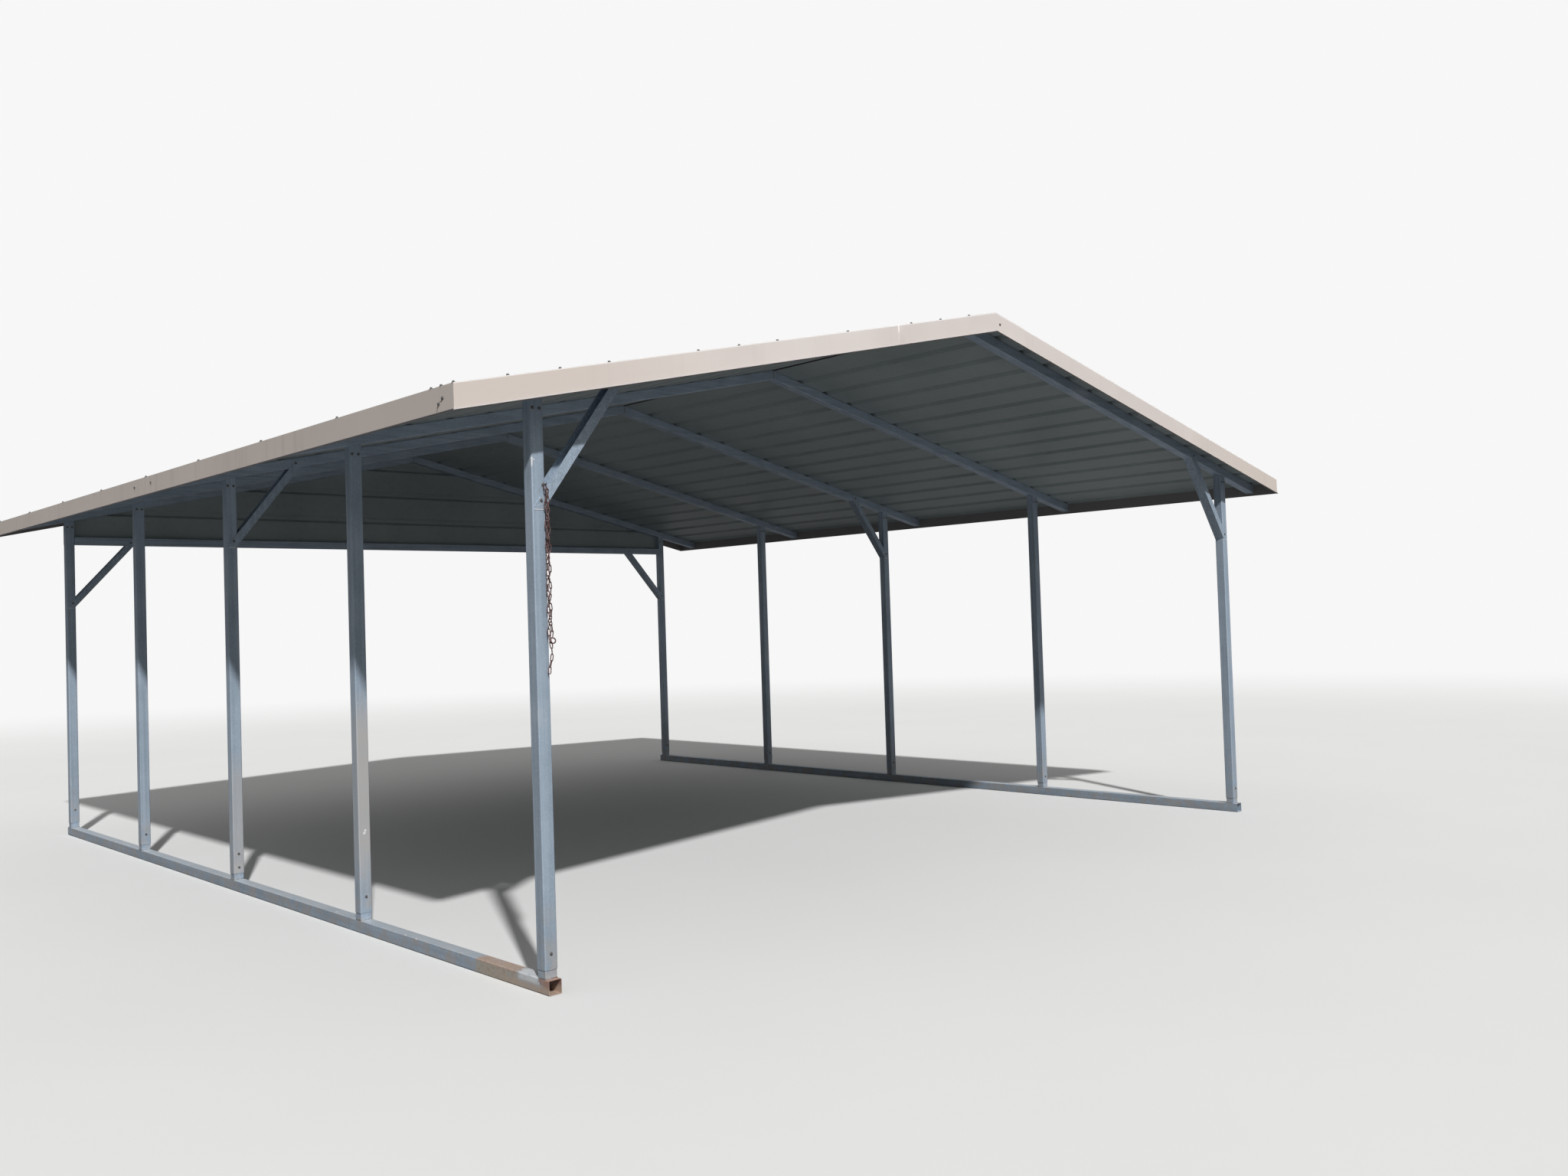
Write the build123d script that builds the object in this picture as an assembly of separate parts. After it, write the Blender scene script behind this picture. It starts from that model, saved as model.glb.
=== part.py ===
from build123d import *
import os
from math import atan2, cos, radians, sin, sqrt, tan

# Open carport of square steel tube with a ribbed steel gable roof, in millimetres.
# X runs across the two rows of posts, Y from the open front to the closed back gable,
# and Z up from the undersides of the base rails. The origin is at the middle of the base.

# Frame of tubes
frame_count = 5
frame_spacing = 1524.0
base_width = 5505.0
tube = 57.15
tube_wall = 2.0
tube_corner = 5.0
rafter_height = 2265.0
rail_end = 22.0

# Stubs welded to the rails and rafters, which the posts slip over
stub_wall = 2.0
stub_length = 150.0
slip = 0.3
foot_gap = 33.0

# Knee braces of bent channel: how far the foot lies under the tube that the brace props,
# how far the head reaches in from the post, and how the ends of the flanges are cut
front_brace_drop = 420.0
front_brace_reach = 382.0
middle_brace_drop = 372.0
middle_brace_reach = 363.0
back_brace_drop = 450.0
back_brace_reach = 402.0
brace_flange = 41.0
brace_gauge = 1.6
brace_toe = 12.0
brace_margin = 8.0

# Roof
roof_pitch = 12.5
eave_overhang = 447.0
roof_overhang = 196.0
sheet_gauge = 1.0
rib_pitch = 228.6
rib_height = 20.0
rib_foot = 60.0
rib_crown = 22.0
ribs_per_sheet = 4
eave_rib_inset = 40.0
sheet_edge_gap = 3.0
ridge_opening = 14.0

# Folded trim and ridge cap
trim_gauge = 1.2
trim_face = 94.0
trim_flange = 60.0
hem_drop = 5.0
hem_out = 5.4
cap_half_width = 245.0
cap_bend = 12.0
cap_clearance = 0.02

# Closed back gable
header_drop = 168.0
panel_first_rib = 250.0

# How far a cutting shape reaches past the piece that it cuts, and how far past the whole carport
cut_spare = 1.0
far = 10000.0

# Places worked out from the sizes above
pitch = radians(roof_pitch)
post_x = base_width / 2 - tube / 2
frame_span = (frame_count - 1) * frame_spacing
header_height = rafter_height - header_drop
roof_length = frame_span + 2 * roof_overhang
rafter_depth = tube / cos(pitch)
ridge_top = rafter_height + post_x * tan(pitch) + rafter_depth
eave_x = post_x + eave_overhang
slope_length = eave_x / cos(pitch)
lap_top = rib_height + 2 * sheet_gauge
stub = tube - 2 * tube_wall - 2 * slip
back_frame_y = frame_span / 2
middle_frame = (frame_count + 1) // 2
brace_places = {
    1: (front_brace_drop, front_brace_reach),
    middle_frame: (middle_brace_drop, middle_brace_reach),
    frame_count: (back_brace_drop, back_brace_reach),
}


def frame_y(number):
    return -frame_span / 2 + (number - 1) * frame_spacing


def on_slope(run, rise):
    """Point of the right-hand slope: run down from the ridge, rise square to the rafter tops."""
    x = run * cos(pitch) + rise * sin(pitch)
    z = ridge_top - run * sin(pitch) + rise * cos(pitch)
    return (x, z)


def slope_z(x, rise):
    """Height at x of the plane that lies rise above the rafter tops."""
    return ridge_top - x * tan(pitch) + rise / cos(pitch)


def prism(outline, y_front, y_back):
    """Solid with an XZ outline, from y_front to y_back."""
    corners = [(x, y_front, z) for x, z in outline]
    face = make_face(Polyline(*corners, close=True))
    return extrude(face, y_back - y_front, dir=(0, 1, 0))


def span_box(x_low, x_high, y_low, y_high, z_low, z_high):
    size = (x_high - x_low, y_high - y_low, z_high - z_low)
    middle = ((x_low + x_high) / 2, (y_low + y_high) / 2, (z_low + z_high) / 2)
    return Pos(*middle) * Box(*size)


def plan_block(outline):
    """Upright block with an XY outline, taller than the whole carport."""
    corners = [(x, y, 0) for x, y in outline]
    return extrude(make_face(Polyline(*corners, close=True)), far, dir=(0, 0, 1))


def thicken(path, gauge):
    """Outline of a folded sheet: the path is its left face, the gauge is added on the left."""
    outer = []
    last = len(path) - 1
    for i, (u, v) in enumerate(path):
        before = path[max(i - 1, 0)]
        after = path[min(i + 1, last)]
        turn_in = atan2(v - before[1], u - before[0]) if i > 0 else None
        turn_out = atan2(after[1] - v, after[0] - u) if i < last else None
        first = turn_in if turn_in is not None else turn_out
        second = turn_out if turn_out is not None else turn_in
        normal = ((-sin(first) - sin(second)) / 2, (cos(first) + cos(second)) / 2)
        stretch = normal[0] ** 2 + normal[1] ** 2
        outer.append((u + gauge * normal[0] / stretch, v + gauge * normal[1] / stretch))
    return path + outer[::-1]


def ring(side, wall, corner):
    """Section of a hollow square tube, rounded outside and square inside."""
    bore = side - 2 * wall
    return RectangleRounded(side, side, corner) - Rectangle(bore, bore)


def upright_tube(x, y, z_low, z_high, side, wall, corner):
    return Pos(x, y, z_low) * extrude(ring(side, wall, corner), z_high - z_low)


def on_left(shape):
    return mirror(shape, about=Plane.YZ)


def at_back(shape):
    return mirror(shape, about=Plane.XZ)


def base_rail():
    """Right rail, with a stub welded on it under each post."""
    length = frame_span + tube + 2 * rail_end
    section = Plane(origin=(post_x, -length / 2, tube / 2), x_dir=(1, 0, 0), z_dir=(0, 1, 0))
    rail = extrude(section * ring(tube, tube_wall, tube_corner), length)
    for number in range(1, frame_count + 1):
        foot = upright_tube(post_x, frame_y(number), tube - tube_wall / 2,
                            tube + stub_length, stub, stub_wall, tube_corner - tube_wall)
        rail = rail + foot
    return rail


def post(number):
    """Right post, cut to the slope where the rafter lies on it."""
    y = frame_y(number)
    blank = upright_tube(post_x, y, tube + foot_gap, rafter_height + tube, tube, tube_wall, tube_corner)
    left = post_x - tube
    right = post_x + tube
    under = [(left, 0), (right, 0), (right, slope_z(right, -tube)), (left, slope_z(left, -tube))]
    return blank & prism(under, y - tube, y + tube)


def rafter(number):
    """Right rafter, mitred at the ridge and plumb at the eave, with its stub in the post."""
    y = frame_y(number)
    start_x, start_z = on_slope(-tube, -tube / 2)
    section = Plane(origin=(start_x, y, start_z), x_dir=(0, 1, 0), z_dir=(cos(pitch), 0, -sin(pitch)))
    blank = extrude(section * ring(tube, tube_wall, tube_corner), slope_length + 2 * tube)
    beam = blank & span_box(0, eave_x - trim_gauge, y - tube, y + tube, 0, far)
    weld = -tube + tube_wall / 2
    left = post_x - tube
    right = post_x + tube
    under = [(left, 0), (right, 0), (right, slope_z(right, weld)), (left, slope_z(left, weld))]
    peg = upright_tube(post_x, y, rafter_height - stub_length, rafter_height + tube,
                       stub, stub_wall, tube_corner - tube_wall)
    return beam + (peg & prism(under, y - tube, y + tube))


def knee_brace(number):
    """Right knee brace: a channel whose flanges straddle the post and the tube it props."""
    y = frame_y(number)
    drop, reach = brace_places[number]
    at_header = number == frame_count
    inner_face = post_x - tube / 2
    head_x = inner_face - reach
    head_z = header_height if at_header else slope_z(head_x, -tube)
    foot_z = (header_height if at_header else rafter_height) - drop
    length = sqrt(reach ** 2 + (head_z - foot_z) ** 2)
    along = (-reach / length, (head_z - foot_z) / length)
    across = (along[1], -along[0])

    def at(run, side):
        return (inner_face + run * along[0] + side * across[0], foot_z + run * along[1] + side * across[1])

    half = tube / 2 + slip
    low = -2 * tube
    high = length + 2 * tube
    blank = prism([at(low, 0), at(high, 0), at(high, brace_flange), at(low, brace_flange)],
                  y - half - brace_gauge, y + half + brace_gauge)
    past_low = low - cut_spare
    past_high = high + cut_spare
    past_flange = brace_flange + cut_spare
    inside = prism([at(past_low, brace_gauge), at(past_high, brace_gauge),
                    at(past_high, past_flange), at(past_low, past_flange)], y - half, y + half)
    post_room = span_box(inner_face - slip, far, y - half, y + half, 0, far)
    foot_keep = span_box(0, inner_face + tube - brace_margin, y - tube, y + tube, foot_z - brace_toe, far)
    if at_header:
        prop_room = span_box(0, far, y - half, y + half, header_height - slip, far)
        panel_room = span_box(0, far, y + tube / 2, y + tube, header_height - slip, far)
        blank = blank - panel_room
        head_keep = span_box(head_x - brace_toe, far, y - tube, y + tube,
                             0, header_height + tube - brace_margin)
    else:
        under = -tube - slip
        prop_room = prism([(0, slope_z(0, under)), (far, slope_z(far, under)), (far, far), (0, far)],
                          y - half, y + half)
        head_run = (head_x + tube * sin(pitch)) / cos(pitch) - brace_toe
        head_keep = prism([on_slope(head_run, -far), on_slope(far, -far),
                           on_slope(far, -brace_margin), on_slope(head_run, -brace_margin)],
                          y - tube, y + tube)
    return (blank - inside - post_room - prop_room) & foot_keep & head_keep


def rib_path(centre, lift):
    """Path over one rib. A rib that laps over another is lifted by one gauge all round."""
    side = atan2(rib_height, (rib_foot - rib_crown) / 2)
    ease = lift * tan(side / 2)
    crown = rib_crown / 2 + ease
    top = rib_height + lift
    near = rib_foot / 2 + (lift / sin(side) if lift else 0)
    far_foot = rib_foot / 2 + ease
    return [(centre - near, 0), (centre - crown, top), (centre + crown, top), (centre + far_foot, lift)]


def rib_runs():
    """Runs of all ribs of a slope, counted from the eave."""
    runs = []
    run = slope_length - eave_rib_inset
    while run > rib_foot + ridge_opening:
        runs.append(run)
        run -= rib_pitch
    return runs


def roof_sheet(index):
    """Right roof sheet, counted from the eave, each lapping over the one below it."""
    runs = rib_runs()
    first = index * ribs_per_sheet
    own = runs[first:first + ribs_per_sheet + 1]
    at_ridge = first + ribs_per_sheet + 1 >= len(runs)
    path = [(ridge_opening, 0)] if at_ridge else []
    for place in reversed(range(len(own))):
        lap = sheet_gauge if place == 0 and index > 0 else 0
        path = path + rib_path(own[place], lap)
    if index == 0:
        path.append((slope_length - sheet_edge_gap, 0))
    outline = [on_slope(run, rise) for run, rise in thicken(path, sheet_gauge)]
    half = roof_length / 2 - trim_gauge
    return prism(outline, -half, half)


def sheet_count():
    return -(-(len(rib_runs()) - 1) // ribs_per_sheet)


def gable_trim():
    """Right front gable trim: flange on the ribs, face down past the rafter, and a hem kicked out.

    The hem is mitred at the eave, where it meets the hem of the eave trim.
    """
    front = -roof_length / 2
    top = lap_top + trim_gauge
    low = top - trim_face
    path = [(front + trim_flange, top), (front, top), (front, low + hem_drop), (front - hem_out, low)]
    start = -2 * tube
    corners = []
    for y, rise in thicken(path, trim_gauge):
        x, z = on_slope(start, rise)
        corners.append((x, y, z))
    face = make_face(Polyline(*corners, close=True))
    blank = extrude(face, slope_length + 4 * tube, dir=(cos(pitch), 0, -sin(pitch)))
    back = front + trim_flange
    past_hem = 2 * hem_out
    keep = plan_block([(0, front - past_hem), (eave_x + past_hem, front - past_hem), (eave_x, front),
                       (eave_x, back), (0, back)])
    return blank & keep


def eave_trim():
    """Right eave trim: flange on the last rib, plumb face against the rafter ends, and a hem kicked out."""
    top = slope_z(eave_x, lap_top + trim_gauge)
    low = top - trim_face
    inset_x = eave_x - trim_flange * cos(pitch)
    path = [(eave_x + hem_out, low), (eave_x, low + hem_drop), (eave_x, top),
            (inset_x, slope_z(inset_x, lap_top + trim_gauge))]
    half = roof_length / 2
    behind = half - trim_gauge
    past_hem = 2 * hem_out
    back_corner = [(eave_x + past_hem, half + past_hem), (eave_x, half), (eave_x, behind), (0, behind)]
    front_corner = [(x, -y) for x, y in reversed(back_corner)]
    folded = prism(thicken(path, trim_gauge), -half - past_hem, half + past_hem)
    folded = folded & plan_block(front_corner + back_corner)
    above = [(0, slope_z(0, lap_top)), (far, slope_z(far, lap_top)), (far, far), (0, far)]
    flange_end = half - trim_flange - slip
    flange_room = prism(above, flange_end, half)
    return folded - flange_room - at_back(flange_room)


def ridge_cap():
    """Cap bent over the ridge, lying on the gable trims at its two ends."""
    bend_rise = cap_bend * (1 - cos(pitch)) + cap_clearance
    under = lap_top + trim_gauge + bend_rise
    foot_in = on_slope(cap_half_width, under)
    foot_out = on_slope(cap_half_width, under + trim_gauge)
    peak_in = (0, slope_z(0, under))
    peak_out = (0, slope_z(0, under + trim_gauge))
    front = -roof_length / 2

    def bent(foot, peak, radius):
        corners = [(-foot[0], front, foot[1]), (peak[0], front, peak[1]), (foot[0], front, foot[1])]
        return FilletPolyline(*corners, radius=radius)

    outer = bent(foot_out, peak_out, cap_bend + trim_gauge)
    inner = bent(foot_in, peak_in, cap_bend)
    ends = [Line(outer @ 0, inner @ 0), Line(outer @ 1, inner @ 1)]
    face = make_face(outer.edges() + inner.edges() + [end.edge() for end in ends])
    return extrude(face, roof_length, dir=(0, 1, 0))


def gable_panel():
    """Ribbed sheet closing the back gable, lying on the backs of the rafters and header."""
    back = back_frame_y + tube / 2
    height = slope_z(0, 0) - header_height
    path = [(header_height - rib_foot, 0)]
    level = header_height + panel_first_rib
    while level < header_height + height + rib_pitch:
        path = path + rib_path(level, 0)
        level += rib_pitch
    outline = thicken(path, sheet_gauge)
    half = post_x + tube / 2
    corners = [(-half, back + depth, z) for z, depth in outline]
    face = make_face(Polyline(*corners, close=True))
    blank = extrude(face, 2 * half, dir=(1, 0, 0))
    room = -slip
    bounds = [(-half, header_height), (half, header_height), (half, slope_z(half, room)),
              (0, slope_z(0, room)), (-half, slope_z(half, room))]
    return blank & prism(bounds, back - cut_spare, back + rib_height + sheet_gauge + cut_spare)


def gable_header():
    """Tube between the back posts along the bottom of the gable panel."""
    half = post_x - tube / 2 - slip
    section = Plane(origin=(-half, back_frame_y, header_height + tube / 2), x_dir=(0, 1, 0), z_dir=(1, 0, 0))
    return extrude(section * ring(tube, tube_wall, tube_corner), 2 * half)


def build():
    """All sub-parts by name. The left side mirrors the right."""
    parts = {}

    def both_sides(name, shape, tail=""):
        parts[name + "_right" + tail] = shape
        parts[name + "_left" + tail] = on_left(shape)

    both_sides("base_rail", base_rail())
    for number in range(1, frame_count + 1):
        both_sides("post", post(number), "_%d" % number)
        both_sides("rafter", rafter(number), "_%d" % number)
    for number in brace_places:
        both_sides("knee_brace", knee_brace(number), "_%d" % number)
    for index in range(sheet_count()):
        both_sides("roof_sheet", roof_sheet(index), "_%d" % (index + 1))
    both_sides("eave_trim", eave_trim())
    front_trim = gable_trim()
    both_sides("gable_trim_front", front_trim)
    both_sides("gable_trim_back", at_back(front_trim))
    parts["ridge_cap"] = ridge_cap()
    parts["gable_panel_back"] = gable_panel()
    parts["gable_header_back"] = gable_header()
    return parts


def main():
    os.makedirs("parts", exist_ok=True)
    for name, shape in build().items():
        export_step(shape, "parts/%s.step" % name)


if __name__ == "__main__":
    main()
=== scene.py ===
import math
import random

import bmesh
import bpy
from mathutils import Matrix, Vector


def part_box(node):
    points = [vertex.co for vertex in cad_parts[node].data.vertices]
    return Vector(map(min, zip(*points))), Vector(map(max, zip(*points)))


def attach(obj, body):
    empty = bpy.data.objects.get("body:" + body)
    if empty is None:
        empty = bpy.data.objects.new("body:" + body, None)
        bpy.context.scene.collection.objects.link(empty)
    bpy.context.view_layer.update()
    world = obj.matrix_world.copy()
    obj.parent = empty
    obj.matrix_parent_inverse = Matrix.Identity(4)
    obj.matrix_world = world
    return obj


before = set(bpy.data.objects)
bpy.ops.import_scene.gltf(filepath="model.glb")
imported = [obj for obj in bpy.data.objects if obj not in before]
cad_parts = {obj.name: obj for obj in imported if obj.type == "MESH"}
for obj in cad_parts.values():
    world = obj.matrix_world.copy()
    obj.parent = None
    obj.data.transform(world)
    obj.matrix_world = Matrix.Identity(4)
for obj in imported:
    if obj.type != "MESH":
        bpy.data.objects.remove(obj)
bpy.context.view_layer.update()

# An open steel carport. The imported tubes, sheets and trim get their finishes here, and this script
# adds the screws, the weld beads, the chain, the lap in the front trim and the turned-in edges under
# the hems. Metres, with +X to the right and +Y to the closed gable.

random.seed(7)

# Sizes repeated from the part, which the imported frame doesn't state
FRAME_COUNT = 5
BRACE_FRAMES = (1, 3, 5)
ROOF_PITCH = math.radians(12.5)
RIB_PITCH = 0.2286
RIB_HEIGHT = 0.020
RIB_COUNT = 14
EAVE_RIB_INSET = 0.040
PANEL_FIRST_RIB = 0.250
SHEET_GAUGE = 0.001
TRIM_GAUGE = 0.0012
TRIM_FACE = 0.094
HEM_DROP = 0.005
HEM_OUT = 0.0054
STUB_SIDE = 0.0525
CAP_HALF_WIDTH = 0.245

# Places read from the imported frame. The rafters' undersides are taken over the middles of the posts
POST_LOW, POST_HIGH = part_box("post_right_1")
TUBE = POST_HIGH.x - POST_LOW.x
POST_X = (POST_LOW.x + POST_HIGH.x) / 2
POST_FOOT = POST_LOW.z
RAFTER_UNDER = POST_HIGH.z - TUBE * math.tan(ROOF_PITCH) / 2
RIDGE_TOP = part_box("rafter_right_1")[1].z
EAVE_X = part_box("rafter_right_1")[1].x + TRIM_GAUGE
FRONT_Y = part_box("ridge_cap")[0].y
HEADER_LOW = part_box("gable_header_back")[0].z
SLOPE_LENGTH = EAVE_X / math.cos(ROOF_PITCH)

# Heights above the rafter tops, square to the slope: where the trims' tops and lower edges lie
TRIM_TOP = RIB_HEIGHT + 2 * SHEET_GAUGE + TRIM_GAUGE
TRIM_LOW = TRIM_TOP - TRIM_FACE

FRAMES = range(1, FRAME_COUNT + 1)
LEFT, RIGHT = -1, 1
SIDES = (("left", LEFT), ("right", RIGHT))
OUT_LEFT = Vector((-1, 0, 0))
OUT_FRONT = Vector((0, -1, 0))
OUT_BACK = Vector((0, 1, 0))


def frame_y(number):
    """Middle of a frame's posts along Y."""
    low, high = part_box("post_left_%d" % number)
    return (low.y + high.y) / 2


def on_slope(run, rise, sign):
    """Point of a slope: run down from the ridge, rise square to the rafter tops."""
    x = run * math.cos(ROOF_PITCH) + rise * math.sin(ROOF_PITCH)
    z = RIDGE_TOP - run * math.sin(ROOF_PITCH) + rise * math.cos(ROOF_PITCH)
    return Vector((sign * x, 0, z))


def slope_normal(sign):
    return Vector((sign * math.sin(ROOF_PITCH), 0, math.cos(ROOF_PITCH)))


def slope_height(aside, rise):
    """Height, at a distance aside from the ridge, of the plane that lies rise above the rafter tops."""
    return RIDGE_TOP - aside * math.tan(ROOF_PITCH) + rise / math.cos(ROOF_PITCH)


def rib_runs():
    """How far down the slope each rib lies, from the eave's to the ridge's."""
    return [SLOPE_LENGTH - EAVE_RIB_INSET - k * RIB_PITCH for k in range(RIB_COUNT)]


def at_y(point, y):
    return Vector((point.x, y, point.z))


def evenly(start, end, count):
    """That many numbers or points, evenly spaced from start to end."""
    return [start + (end - start) * (i / (count - 1)) for i in range(count)]


# Camera at the photograph's view
CAMERA_PLACE = Vector((-5.4418, -7.2229, 1.3804))
CAMERA_YAW = 0.7677
CAMERA_PITCH = 0.0255
CAMERA_ROLL = -0.0322
CAMERA_REACH = 200.0
FOCAL_PIXELS = 1671.5
PHOTO_WIDTH = 2048
SENSOR_WIDTH = 36.0


def add_camera():
    ahead = Vector((math.sin(CAMERA_YAW) * math.cos(CAMERA_PITCH),
                    math.cos(CAMERA_YAW) * math.cos(CAMERA_PITCH), math.sin(CAMERA_PITCH)))
    level = Vector((math.cos(CAMERA_YAW), -math.sin(CAMERA_YAW), 0))
    upright = level.cross(ahead)
    right = level * math.cos(CAMERA_ROLL) + upright * math.sin(CAMERA_ROLL)
    up = upright * math.cos(CAMERA_ROLL) - level * math.sin(CAMERA_ROLL)
    turn = Matrix((right, up, -ahead)).transposed().to_4x4()
    data = bpy.data.cameras.new("camera")
    data.sensor_width = SENSOR_WIDTH
    data.lens = FOCAL_PIXELS / PHOTO_WIDTH * SENSOR_WIDTH
    data.clip_end = CAMERA_REACH
    camera = bpy.data.objects.new("camera", data)
    camera.matrix_world = Matrix.Translation(CAMERA_PLACE) @ turn
    bpy.context.scene.collection.objects.link(camera)
    bpy.context.scene.camera = camera


# Sockets of a mix node that carry colours: the two that go in, and the result
MIX_A, MIX_B, MIX_RESULT = 6, 7, 2

# How much of a round spot is at full strength, and how far a mark's edge fades where nothing is said
SPOT_CORE = 0.6
MARK_EDGE = 0.0004


class Shader:
    """A material's node tree, with short calls for the nodes that the finishes use."""

    def __init__(self, name):
        self.material = bpy.data.materials.new(name)
        self.material.use_nodes = True
        self.tree = self.material.node_tree
        self.surface = self.tree.nodes["Principled BSDF"]
        self.place = self.node("ShaderNodeTexCoord").outputs["Object"]

    def node(self, kind, **settings):
        made = self.tree.nodes.new(kind)
        for key, value in settings.items():
            setattr(made, key, value)
        return made

    def put(self, socket, value):
        """Links another node's output to the socket, or sets the socket to a constant."""
        if isinstance(value, bpy.types.NodeSocket):
            self.tree.links.new(value, socket)
        elif socket.type == "RGBA":
            socket.default_value = (*value, 1)
        else:
            socket.default_value = value

    def math(self, operation, a, b=0.0):
        made = self.node("ShaderNodeMath", operation=operation)
        self.put(made.inputs[0], a)
        self.put(made.inputs[1], b)
        return made.outputs[0]

    def plus(self, a, b):
        return self.math("ADD", a, b)

    def times(self, product, *factors):
        for factor in factors:
            product = self.math("MULTIPLY", product, factor)
        return product

    def below(self, value, limit):
        """1 where value is less than the limit."""
        return self.math("LESS_THAN", value, limit)

    def above(self, value, limit):
        """1 where value is more than the limit."""
        return self.math("GREATER_THAN", value, limit)

    def unsigned(self, value):
        return self.math("ABSOLUTE", value)

    def ramp(self, value, start, end, least=0.0, most=1.0):
        """Smooth step: least where value is at start or before it, most where it is at end or past it."""
        made = self.node("ShaderNodeMapRange", interpolation_type="SMOOTHSTEP")
        self.put(made.inputs["Value"], value)
        self.put(made.inputs["From Min"], start)
        self.put(made.inputs["From Max"], end)
        self.put(made.inputs["To Min"], least)
        self.put(made.inputs["To Max"], most)
        return made.outputs[0]

    def within(self, value, low, high, soft=MARK_EDGE):
        """1 where value lies between low and high, fading over soft to either side of both."""
        risen = self.ramp(value, low - soft, low + soft)
        return self.times(risen, self.ramp(value, high + soft, high - soft))

    def noise(self, scale, detail, stretch=(1, 1, 1)):
        """Cloudy noise, finer along an axis whose stretch is larger."""
        stretched = self.node("ShaderNodeVectorMath", operation="MULTIPLY")
        self.put(stretched.inputs[0], self.place)
        self.put(stretched.inputs[1], stretch)
        made = self.node("ShaderNodeTexNoise")
        self.put(made.inputs["Vector"], stretched.outputs[0])
        self.put(made.inputs["Scale"], scale)
        self.put(made.inputs["Detail"], detail)
        return made.outputs["Fac"]

    def patches(self, scale, detail, start, end, least=0.0, most=1.0):
        """Patches of noise, from least to most as the noise goes from start to end."""
        return self.ramp(self.noise(scale, detail), start, end, least, most)

    def stray(self, scale, detail, width):
        """Noise about zero, for lines that wander."""
        return self.times(self.math("SUBTRACT", self.noise(scale, detail), 0.5), width)

    def cells(self, scale):
        """A random value for each crystal of a spangle."""
        crystals = self.node("ShaderNodeTexVoronoi")
        self.put(crystals.inputs["Vector"], self.place)
        self.put(crystals.inputs["Scale"], scale)
        grey = self.node("ShaderNodeRGBToBW")
        self.put(grey.inputs[0], crystals.outputs["Color"])
        return grey.outputs[0]

    def part(self, vector, letter):
        made = self.node("ShaderNodeSeparateXYZ")
        self.put(made.inputs[0], vector)
        return made.outputs[letter]

    def axis(self, letter):
        """Place along an axis."""
        return self.part(self.place, letter)

    def facing(self, letter):
        """How far the surface faces along an axis, from -1 to 1."""
        return self.part(self.node("ShaderNodeNewGeometry").outputs["Normal"], letter)

    def spot(self, centre, size):
        """1 in a round spot of the surface."""
        gap = self.node("ShaderNodeVectorMath", operation="DISTANCE")
        self.put(gap.inputs[0], self.place)
        self.put(gap.inputs[1], centre)
        return self.ramp(gap.outputs["Value"], size, size * SPOT_CORE)

    def mix(self, share, a, b):
        """Colour a, turned to colour b by the share."""
        made = self.node("ShaderNodeMix", data_type="RGBA")
        self.put(made.inputs["Factor"], share)
        self.put(made.inputs[MIX_A], a)
        self.put(made.inputs[MIX_B], b)
        return made.outputs[MIX_RESULT]

    def bump(self, height, distance, strength):
        made = self.node("ShaderNodeBump")
        self.put(made.inputs["Height"], height)
        self.put(made.inputs["Distance"], distance)
        self.put(made.inputs["Strength"], strength)
        self.put(self.surface.inputs["Normal"], made.outputs[0])

    def finish(self, colour, roughness, metallic=0.0):
        self.put(self.surface.inputs["Base Color"], colour)
        self.put(self.surface.inputs["Roughness"], roughness)
        self.put(self.surface.inputs["Metallic"], metallic)
        return self.material


# Colours of the tubes. The zinc greys carry a painted blue of the sky's reflection
ZINC_DARK_AND_SKY_BLUE = (0.325, 0.403, 0.490)
ZINC_PALE_AND_SKY_BLUE = (0.450, 0.543, 0.650)
ZINC_GLINT = (0.70, 0.77, 0.83)
ZINC_CHALK = (0.60, 0.66, 0.71)
# Dusting, with painted light that makes the faces turned up brighter
DUST_AND_PAINTED_TOP_LIGHT = (0.66, 0.69, 0.71)
SOIL = (0.44, 0.385, 0.33)

# Colours of the marks on the tubes
RUST_FLECK = (0.30, 0.135, 0.06)
GREY_FILM = (0.550, 0.535, 0.525)
WHITE_SPOT = (0.86, 0.87, 0.88)
RUST_ON_TOP = (0.58, 0.420, 0.320)
RUST_ON_SIDE = (0.53, 0.460, 0.360)
DEEP_RUST = (0.27, 0.145, 0.090)
RUSTY_END = (0.44, 0.270, 0.210)
COLD_ZINC = (0.75, 0.77, 0.79)
MUD = (0.59, 0.470, 0.370)
DARK_JOINT = (0.10, 0.11, 0.12)
PAINTED_END_HIGHLIGHT = (0.90, 0.91, 0.92)

# Colours of the trims and sheets
TAN_DARK = (0.700, 0.635, 0.600)
TAN_PALE = (0.750, 0.685, 0.650)
TAN_BY_EAVE = (0.650, 0.565, 0.495)
# Painted shade for the faces that look along X, the eave trims
PAINTED_EAVE_SHADE = (0.30, 0.28, 0.27)
WASHED_DIRT = (0.40, 0.34, 0.29)
DARK_RUN = (0.20, 0.15, 0.12)
PAINTED_FOLD_HIGHLIGHT = (0.95, 0.92, 0.90)
GABLE_HEM_DARKER = (0.47, 0.44, 0.43)
EAVE_HEM_DARKER = (0.27, 0.25, 0.245)
# Painted shade, with grime, on the trims' faces turned down
PAINTED_SHADE_AND_GRIME_UNDER_TRIM = (0.14, 0.115, 0.11)
TRIM_BACKER = (0.24, 0.22, 0.22)
SHEET_DARK = (0.655, 0.595, 0.545)
SHEET_PALE = (0.700, 0.640, 0.590)
SHEET_STREAK = (0.40, 0.355, 0.31)
SHEET_SPECK = (0.20, 0.18, 0.15)
BACKER_DARK = (0.290, 0.335, 0.345)
BACKER_PALE = (0.360, 0.408, 0.412)

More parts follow.
